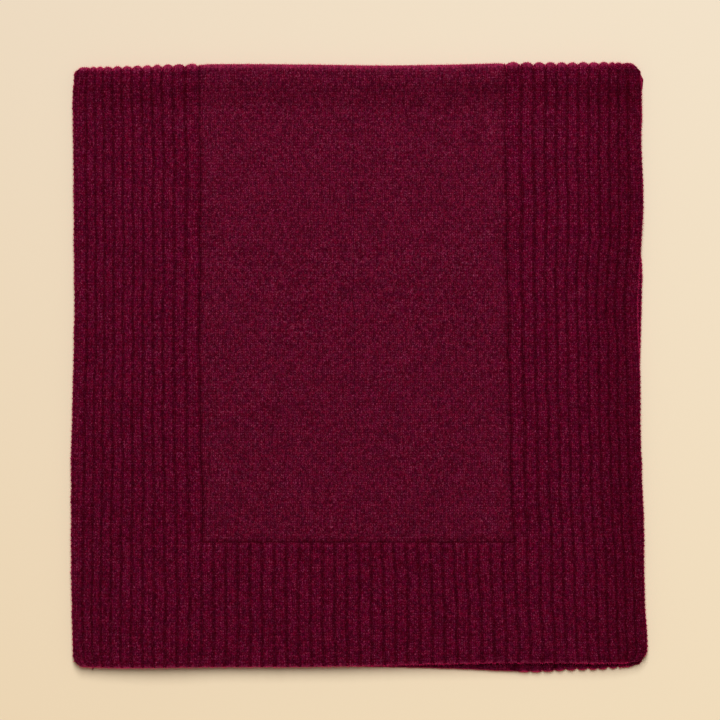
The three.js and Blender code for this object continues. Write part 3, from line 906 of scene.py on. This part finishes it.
def side_border(side):
    courses = np.concatenate([END_ROWS, top_rows(0.5)])
    y = END_Y + np.minimum(courses, LEAF_COURSES) * COURSE
    turned = np.clip((courses - LEAF_COURSES) / TURN_COURSES, 0, 1)
    past = np.clip((courses - LEAF_COURSES - TURN_COURSES) / TAIL_COURSES, 0, 1)
    lower = ease(*LOWER_SIDE, turned)
    from_line = TURN_REACH * (1 - np.sin(math.pi * turned)) + ARC_Y - y + past * TAIL_LENGTH
    upper_draw = np.interp(from_line, FROM_FOLD, UPPER_CORNER[side])
    lower_draw = np.interp(from_line, FROM_FOLD, LOWER_CORNER[side])
    drawn = corner_draw(END_CORNER[side], y - END_Y) + SELVEDGE_ROUND
    drawn = drawn + upper_draw * (1 - lower) + lower_draw * lower
    valleys = border_valleys(side, y, drawn)
    fullness = np.repeat(RIB_FULLNESS, len(RIB_COLUMNS))
    fullness = np.append(fullness, fullness[-1])
    if side == "right":
        valleys = valleys[:, ::-1]
        fullness = fullness[::-1]
    x, wales, hump = rib_layout(valleys)
    half_rib = len(RIB_COLUMNS) // 2
    outermost = slice(0, half_rib) if side == "left" else slice(-half_rib, None)
    hump[outermost] = SELVEDGE_HUMP + (1 - SELVEDGE_HUMP) * hump[outermost]
    notch = VALLEY_ON_FOLD * (fullness - LEAST_FULLNESS) / (1 - LEAST_FULLNESS) * (1 - hump**NOTCH_POWER)
    rise = hump * fullness * full_by_end(courses) * slow_change(RIBS, y)
    rise = rise - notch * np.sin(math.pi * turned)[:, None]
    lift = np.maximum(RIB_WALL + RIB_RISE * rise + stitch_relief(wales, courses), LEAST_WALL)
    bend = chevron(wales) * (ease(*FIRST_BENDS, courses) * (1 - past))[:, None]
    outer = top_leaf(x + jitter(x.shape, SHIFT_JITTER), courses[:, None] + bend, lift)
    inner = top_leaf(valleys, courses[:, None], 0 * valleys)
    # Painted shade on the outer ribs, fading in from the selvedge.
    outer_rib_shade = 1 - ease(*OUTER_PAINTED_SHADE_REACH, from_selvedge(x, y[:, None]))
    shade = np.tile(rib_shade(hump), (len(y), 1))
    # Less painted shade in the valley beside the panel, towards the folded edge.
    by_panel = slice(-PANEL_SIDE_COLUMNS, None) if side == "left" else slice(0, PANEL_SIDE_COLUMNS)
    shade[:, by_panel] += (1 - shade[:, by_panel]) * SOFT_VALLEY * ease(*SOFT_VALLEY_REACH, y)[:, None]
    shade *= (1 - OUTER_PAINTED_SHADE[side] * outer_rib_shade) * leaf_painted_light(courses)
    reach = SELVEDGE_ROUND + knotted(courses)
    reaches = (reach, None) if side == "left" else (None, reach)
    return knitted_wall(side + "_border", outer, inner, wales, courses, shade, *reaches)


for side in INWARDS:
    border = side_border(side)
    border.data.materials.append(rib_wool)
    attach(border, "root")
    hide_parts(side + "_rib_border")

# Panel of the top leaf
# Plain knitting between the borders, from the hem line to the folded edge and round it, made as two
# halves that meet between two wales. It is flatter than the ribs, and sinks a little to each border.
HEM_Y = -132.1
HEM_COURSES = (HEM_Y - END_Y) / COURSE
HEM_ROW = 0.3
HEM_WALL = 1.5
# Painted shade along the hem line and the panel's sides by the borders; the panel is also darker in a band
# just above the hem.
HEM_SHADE = 0.5
HEM_RISE = 1.5
HEM_BAND = 3.2
HEM_BAND_SHADE = 0.22
PANEL_WALL = 2.3
PANEL_BACKS = 7
SINK_WALES = 2.2
PANEL_SIDE_SHADE = 0.35

PANEL_DEEP = (0.034, 0.0001, 0.0025)
PANEL_BODY = (0.134, 0.0026, 0.0202)
PANEL_PLUM = (0.121, 0.0028, 0.0266)
PANEL_FLECK = (0.26, 0.062, 0.124)
PANEL_RIM = (0.27, 0.022, 0.074)
panel_wool = burgundy_wool("panel_wool", PANEL_DEEP, PANEL_BODY, PANEL_PLUM, PANEL_FLECK, PANEL_RIM)

panel_whole_rows = top_rows(math.ceil(2 * HEM_COURSES) / 2 + 0.5)
panel_courses = np.concatenate([[HEM_COURSES, HEM_COURSES + HEM_ROW], panel_whole_rows])
panel_y = END_Y + np.minimum(panel_courses, LEAF_COURSES) * COURSE
from_hem = (panel_courses - HEM_COURSES)[:, None]
panel_wales = np.arange(0, PANEL_WALES + 0.1, 0.25)
panel_left = read(PANEL_LINE_Y, PANEL_LEFT, panel_y)[:, None]
panel_right = read(PANEL_LINE_Y, PANEL_RIGHT, panel_y)[:, None]
panel_x = panel_left + (panel_right - panel_left) * panel_wales / PANEL_WALES
from_side = np.minimum(panel_wales, PANEL_WALES - panel_wales)
full_wall = RIB_WALL + (PANEL_WALL - RIB_WALL) * ease(0, SINK_WALES, from_side)
risen = ease(0, HEM_RISE, from_hem)
panel_lift = HEM_WALL + (full_wall - HEM_WALL) * risen + stitch_relief(panel_wales, panel_courses) * risen
panel_tail = np.clip((panel_courses - LEAF_COURSES - TURN_COURSES) / TAIL_COURSES, 0, 1)[:, None]
panel_bend = chevron(panel_wales) * risen * (1 - panel_tail)
panel_moved = panel_x + jitter(panel_x.shape, SHIFT_JITTER)
panel_outer = top_leaf(panel_moved, panel_courses[:, None] + panel_bend, panel_lift)
# Painted shade by the borders and along the hem, and a darker band just above the hem.
by_side = PANEL_SIDE_SHADE + (1 - PANEL_SIDE_SHADE) * ease(0, 1, from_side)
by_hem = HEM_SHADE + (1 - HEM_SHADE) * ease(0, 1, from_hem)
by_hem = by_hem * (1 - HEM_BAND_SHADE * (1 - ease(0, HEM_BAND, from_hem)))
panel_shade = by_side * by_hem * leaf_painted_light(panel_courses)
middle = len(panel_wales) // 2
for name, part in (("panel_left", slice(0, middle + 1)), ("panel_right", slice(middle, None))):
    ends = panel_x[:, part][:, [0, -1]]
    back = ends[:, :1] + (ends[:, 1:] - ends[:, :1]) * np.linspace(0, 1, PANEL_BACKS)
    inner = top_leaf(back, panel_courses[:, None], 0 * back)
    wales = panel_wales[part]
    panel = knitted_wall(name, panel_outer[:, part], inner, wales, panel_courses, panel_shade[:, part])
    panel.data.materials.append(panel_wool)
    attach(panel, "root")
    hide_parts("centre_panel")

# End rib of the top leaf
# Twenty-six ribs across the scarf's end, knitted in one with the panel above them and the borders beside
# them. They start at the hem line with round shoulders, and end in a soft rounded edge.
END_RIBS = 26
LAST_BENDS = 2
SHOULDER_RISE = 0.2
SHOULDER_UP = (0, 2)
SHOULDER_DOWN = (3, 9)
HEM_ROUND = 1.8
HEM_LINE = 0.8
# Painted highlight on the rounded rib caps just below the hem line.
CAP_HIGHLIGHT = 0.12
CAP_UP = (0.6, 1.4)
CAP_DOWN = (2, 6)

end_whole_rows = np.arange(0.5, HEM_COURSES - HEM_ROW - 0.1, 0.5)
end_courses = np.concatenate([END_ROWS, end_whole_rows, [HEM_COURSES - HEM_ROW, HEM_COURSES]])
end_y = END_Y + end_courses * COURSE
end_left = read(PANEL_LINE_Y, PANEL_LEFT, end_y)[:, None]
end_right = read(PANEL_LINE_Y, PANEL_RIGHT, end_y)[:, None]
end_valleys = end_left + (end_right - end_left) * np.linspace(0, 1, END_RIBS + 1)
end_x, end_wales, end_hump = rib_layout(end_valleys)
to_hem = ((HEM_COURSES - end_courses) * COURSE)[:, None]
shoulder = 1 + SHOULDER_RISE * ease(*SHOULDER_UP, to_hem) * (1 - ease(*SHOULDER_DOWN, to_hem))
end_rise = end_hump * full_by_end(end_courses) * shoulder * slow_change(END_RIBS, end_y)
started = rounded(to_hem / HEM_ROUND)
end_lift = HEM_WALL + (RIB_WALL + RIB_RISE * end_rise - HEM_WALL) * started
end_lift = end_lift + stitch_relief(end_wales, end_courses) * started
bent = ease(*FIRST_BENDS, end_courses) * ease(0, LAST_BENDS, HEM_COURSES - end_courses)
end_bend = chevron(end_wales) * bent[:, None]
end_moved = end_x + jitter(end_x.shape, SHIFT_JITTER)
# Painted shade at the hem line, and a painted highlight on the rib caps just below it.
hem_light = HEM_SHADE + (1 - HEM_SHADE) * ease(0, HEM_LINE, to_hem)
hem_light = hem_light + CAP_HIGHLIGHT * ease(*CAP_UP, to_hem) * (1 - ease(*CAP_DOWN, to_hem))
end_shade = rib_shade(end_hump) * hem_light * leaf_painted_light(end_courses)
end_cloth = knitted_wall(
    "end_rib_cloth",
    top_leaf(end_moved, end_courses[:, None] + end_bend, end_lift),
    top_leaf(end_valleys, end_courses[:, None], 0 * end_valleys),
    end_wales,
    end_courses,
    end_shade,
)
end_cloth.data.materials.append(rib_wool)
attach(end_cloth, "root")
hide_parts("end_rib")

# Loose yarn end
# A short end of yarn, left where the first row was cast on, stands out past the scarf's end at the left.
# Two strands of wool twisted together, tapered where it was cut.
YARN_SHADE = 0.8
YARN_START = (-200.6, -224.4, 6.6)
YARN_RADIUS = 0.65
YARN_FLATNESS = 0.72
YARN_DROP = 0.1
YARN_SIDES = 8
YARN_TURN = math.radians(24)
YARN_STEPS = [
    (0.10, -0.7, 1.00),
    (0.15, -0.7, 1.00),
    (0.10, -0.7, 1.05),
    (-0.10, -0.6, 1.00),
    (-0.30, -0.5, 0.85),
    (-0.30, -0.3, 0.45),
]

bm = bmesh.new()
section = bmesh.ops.create_circle(bm, cap_ends=True, segments=YARN_SIDES, radius=YARN_RADIUS)["verts"]
bmesh.ops.scale(bm, verts=section, vec=(1, YARN_FLATNESS, 1))
bmesh.ops.rotate(bm, verts=section, cent=(0, 0, 0), matrix=Matrix.Rotation(math.pi / 2, 3, "X"))
bmesh.ops.translate(bm, verts=section, vec=YARN_START)
tip = bm.faces[:]
centre = Vector(YARN_START)
for across, along, swell in YARN_STEPS:
    grown = bmesh.ops.extrude_face_region(bm, geom=tip)["geom"]
    verts = [part for part in grown if isinstance(part, bmesh.types.BMVert)]
    tip = [part for part in grown if isinstance(part, bmesh.types.BMFace)]
    moved = Vector((across, along, -YARN_DROP))
    bmesh.ops.translate(bm, verts=verts, vec=moved)
    centre += moved
    about = Matrix.Translation(-centre)
    bmesh.ops.scale(bm, verts=verts, vec=(swell, 1, swell), space=about)
    bmesh.ops.rotate(bm, verts=verts, cent=centre, matrix=Matrix.Rotation(YARN_TURN, 3, "Y"))
bmesh.ops.scale(bm, verts=bm.verts[:], vec=(MM, MM, MM))
bmesh.ops.recalc_face_normals(bm, faces=bm.faces[:])
yarn_mesh = bpy.data.meshes.new("yarn_end")
bm.to_mesh(yarn_mesh)
bm.free()
yarn_mesh.shade_smooth()
yarn_shade = yarn_mesh.attributes.new("shade", "FLOAT", "POINT")
yarn_shade.data.foreach_set("value", [YARN_SHADE] * len(yarn_mesh.vertices))
yarn_mesh.uv_layers.new(name="stitches")
yarn_end = bpy.data.objects.new("yarn_end", yarn_mesh)
bpy.context.scene.collection.objects.link(yarn_end)
yarn_mesh.materials.append(rib_wool)
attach(yarn_end, "root")

# Nap
# Fine ends of wool fibre that stand out all round the scarf's outline, most of them along its selvedges,
# its end and its folded edge. Each is a thin spike rooted in the cloth.
FIBRES = 40000
FIBRE_RADIUS = 0.045
FIBRE_LENGTH = (0.5, 1.4)
FIBRE_ROOT = 0.25
FIBRE_SPREAD = 0.45
ROOT_SPREAD = 0.3
LENGTH_POWER = 1.5
LEAST_STAND = 0.45
OUTLINE_BAND = 2.6
FIBRE_FLOOR = 0.1
LOWEST_ROOT = 2.0
HAIRY = [
    "left_border",
    "right_border",
    "panel_left",
    "panel_right",
    "end_rib_cloth",
    "back_fold",
    "second_leaf",
]

fibre_wool = bpy.data.materials.new("fibre_wool")
fibre_wool.use_nodes = True
fibre_shader = fibre_wool.node_tree.nodes["Principled BSDF"]
fibre_shader.inputs["Roughness"].default_value = 0.9
fibre_shader.inputs["Specular IOR Level"].default_value = 0.0
fibre_tones = fibre_wool.node_tree.nodes.new("ShaderNodeTexNoise")
fibre_tones.inputs["Scale"].default_value = 900
fibre_place = fibre_wool.node_tree.nodes.new("ShaderNodeTexCoord")
fibre_ramp = fibre_wool.node_tree.nodes.new("ShaderNodeMix")
fibre_ramp.data_type = "RGBA"
# The fibres are much paler than the yarn: partly light passing through a thin fibre, and partly painted
# highlight for the glow of back-lit fuzz.
fibre_ramp.inputs["A"].default_value = (0.55, 0.006, 0.080, 1)
fibre_ramp.inputs["B"].default_value = (1.00, 0.030, 0.190, 1)
fibre_link = fibre_wool.node_tree.links.new
fibre_link(fibre_place.outputs["Object"], fibre_tones.inputs["Vector"])
fibre_link(fibre_tones.outputs["Fac"], fibre_ramp.inputs["Factor"])
fibre_link(fibre_ramp.outputs["Result"], fibre_shader.inputs["Base Color"])

roots, directions = [], []
for cloth_name in HAIRY:
    cloth = bpy.data.objects[cloth_name].data
    at = np.empty(len(cloth.vertices) * 3, np.float32)
    cloth.vertices.foreach_get("co", at)
    facing = np.empty(len(cloth.vertices) * 3, np.float32)
    cloth.vertex_normals.foreach_get("vector", facing)
    at, facing = at.reshape(-1, 3) / MM, facing.reshape(-1, 3)
    x, y, z = at.T
    by_side = from_selvedge(x, y) < OUTLINE_BAND
    by_end = (y > ARC_Y + ONE_LEAF) | (y < END_Y + OUTLINE_BAND)
    stands = np.hypot(facing[:, 0], facing[:, 1]) > LEAST_STAND
    chosen = (by_side | by_end) & stands & (z > LOWEST_ROOT)
    roots.append(at[chosen])
    directions.append(facing[chosen])
roots, directions = np.concatenate(roots), np.concatenate(directions)
picked = draw.integers(0, len(roots), FIBRES)
roots = roots[picked] + draw.normal(0, ROOT_SPREAD, (FIBRES, 3))
directions = directions[picked] + draw.normal(0, FIBRE_SPREAD, (FIBRES, 3))
directions /= np.linalg.norm(directions, axis=1, keepdims=True)
roots -= directions * FIBRE_ROOT
lengths = draw.uniform(*FIBRE_LENGTH, FIBRES) ** LENGTH_POWER + FIBRE_ROOT
sideways = np.cross(directions, draw.normal(0, 1, (FIBRES, 3)))
sideways /= np.linalg.norm(sideways, axis=1, keepdims=True)
upways = np.cross(directions, sideways)

bm = bmesh.new()
bmesh.ops.create_cone(bm, cap_ends=True, segments=3, radius1=FIBRE_RADIUS, radius2=0, depth=1)
bmesh.ops.remove_doubles(bm, verts=bm.verts[:], dist=1e-6)
bmesh.ops.translate(bm, verts=bm.verts[:], vec=(0, 0, 0.5))
bm.verts.index_update()
spike = np.array([vert.co for vert in bm.verts])
spike_faces = np.array([[vert.index for vert in face.verts] for face in bm.faces])
bm.free()
points = roots[:, None] + spike[None, :, :1] * sideways[:, None] + spike[None, :, 1:2] * upways[:, None]
points = points + spike[None, :, 2:] * (directions * lengths[:, None])[:, None]
points[:, :, 2] = np.maximum(points[:, :, 2], FIBRE_FLOOR)
faces = spike_faces[None] + len(spike) * np.arange(FIBRES)[:, None, None]
nap_mesh = bpy.data.meshes.new("nap")
nap_mesh.from_pydata((points.reshape(-1, 3) * MM).tolist(), [], faces.reshape(-1, 3).tolist())
nap = bpy.data.objects.new("nap", nap_mesh)
bpy.context.scene.collection.objects.link(nap)
nap_mesh.materials.append(fibre_wool)
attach(nap, "root")

# Floor, light and camera
# A warm floor whose colour changes slowly along and across it, painted light that evens out the lamp's
# fall-off;
# one soft light high beyond the folded edge, narrow across the scarf and long along it, faint light from
# all round, and a long lens looking straight down.
FLOOR_COLOUR = (0.817, 0.704, 0.527)
FLOOR_SIZE = 8.0
FLOOR_PAINTED_LIGHT_ALONG = (-0.184, -0.112, 0.011)
FLOOR_PAINTED_LIGHT_ACROSS = (0.070, 0.093, 0.090)
FLOOR_PAINTED_LIGHT_REACH = 0.45
KEY_PLACE = (0.0, 2.10, 3.40)
KEY_WIDTH = 0.9
KEY_LENGTH = 3.6
KEY_POWER = 175
ROOM_LIGHT = 0.24
CAMERA_HEIGHT = 2.6
FRAME_WIDTH = 0.544
CAMERA_X = 0.00083
CAMERA_Y = 0.0054

bm = bmesh.new()
bmesh.ops.create_grid(bm, x_segments=1, y_segments=1, size=FLOOR_SIZE / 2)
floor_mesh = bpy.data.meshes.new("floor")
bm.to_mesh(floor_mesh)
bm.free()
floor = bpy.data.objects.new("floor", floor_mesh)
bpy.context.scene.collection.objects.link(floor)
paper = bpy.data.materials.new("warm_paper")
paper.use_nodes = True
paper_nodes = paper.node_tree.nodes
paper_link = paper.node_tree.links.new
paper_shader = paper_nodes["Principled BSDF"]
paper_shader.inputs["Roughness"].default_value = 0.9
paper_shader.inputs["Specular IOR Level"].default_value = 0.1
paper_place = paper_nodes.new("ShaderNodeTexCoord")
paper_at = paper_place.outputs["Object"]
# Painted light: the floor's colour changes along and across, held within a reach, to even out the lamp's
# fall-off.
for operation, reach in (("MAXIMUM", -FLOOR_PAINTED_LIGHT_REACH), ("MINIMUM", FLOOR_PAINTED_LIGHT_REACH)):
    paper_held = paper_nodes.new("ShaderNodeVectorMath")
    paper_held.operation = operation
    paper_held.inputs[1].default_value = (reach, reach, reach)
    paper_link(paper_at, paper_held.inputs[0])
    paper_at = paper_held.outputs["Vector"]
paper_axes = paper_nodes.new("ShaderNodeSeparateXYZ")
paper_link(paper_at, paper_axes.inputs[0])
paper_colour = None
for axis, change, base in (("X", FLOOR_PAINTED_LIGHT_ACROSS, FLOOR_COLOUR), ("Y", FLOOR_PAINTED_LIGHT_ALONG, None)):
    paper_painted_light = paper_nodes.new("ShaderNodeVectorMath")
    paper_painted_light.operation = "MULTIPLY_ADD"
    paper_painted_light.inputs[1].default_value = change
    paper_link(paper_axes.outputs[axis], paper_painted_light.inputs[0])
    if paper_colour:
        paper_link(paper_colour, paper_painted_light.inputs[2])
    else:
        paper_painted_light.inputs[2].default_value = base
    paper_colour = paper_painted_light.outputs["Vector"]
paper_link(paper_colour, paper_shader.inputs["Base Color"])
floor_mesh.materials.append(paper)

key = bpy.data.lights.new("key", "AREA")
key.shape = "RECTANGLE"
key.size = KEY_WIDTH
key.size_y = KEY_LENGTH
key.energy = KEY_POWER
lamp = bpy.data.objects.new("key", key)
bpy.context.scene.collection.objects.link(lamp)
lamp.location = KEY_PLACE
lamp.rotation_mode = "QUATERNION"
lamp.rotation_quaternion = lamp.location.to_track_quat("Z", "Y")

world = bpy.data.worlds.new("room")
bpy.context.scene.world = world
world.use_nodes = True
world.node_tree.nodes["Background"].inputs["Color"].default_value = (1.0, 0.80, 0.64, 1)
world.node_tree.nodes["Background"].inputs["Strength"].default_value = ROOM_LIGHT

camera_data = bpy.data.cameras.new("overhead")
camera_data.sensor_width = 36
camera_data.lens = camera_data.sensor_width * CAMERA_HEIGHT / FRAME_WIDTH
camera_data.clip_end = 50
camera = bpy.data.objects.new("overhead", camera_data)
camera.location = (CAMERA_X, CAMERA_Y, CAMERA_HEIGHT)
bpy.context.scene.collection.objects.link(camera)
bpy.context.scene.camera = camera
bpy.context.scene.view_settings.view_transform = "Standard"
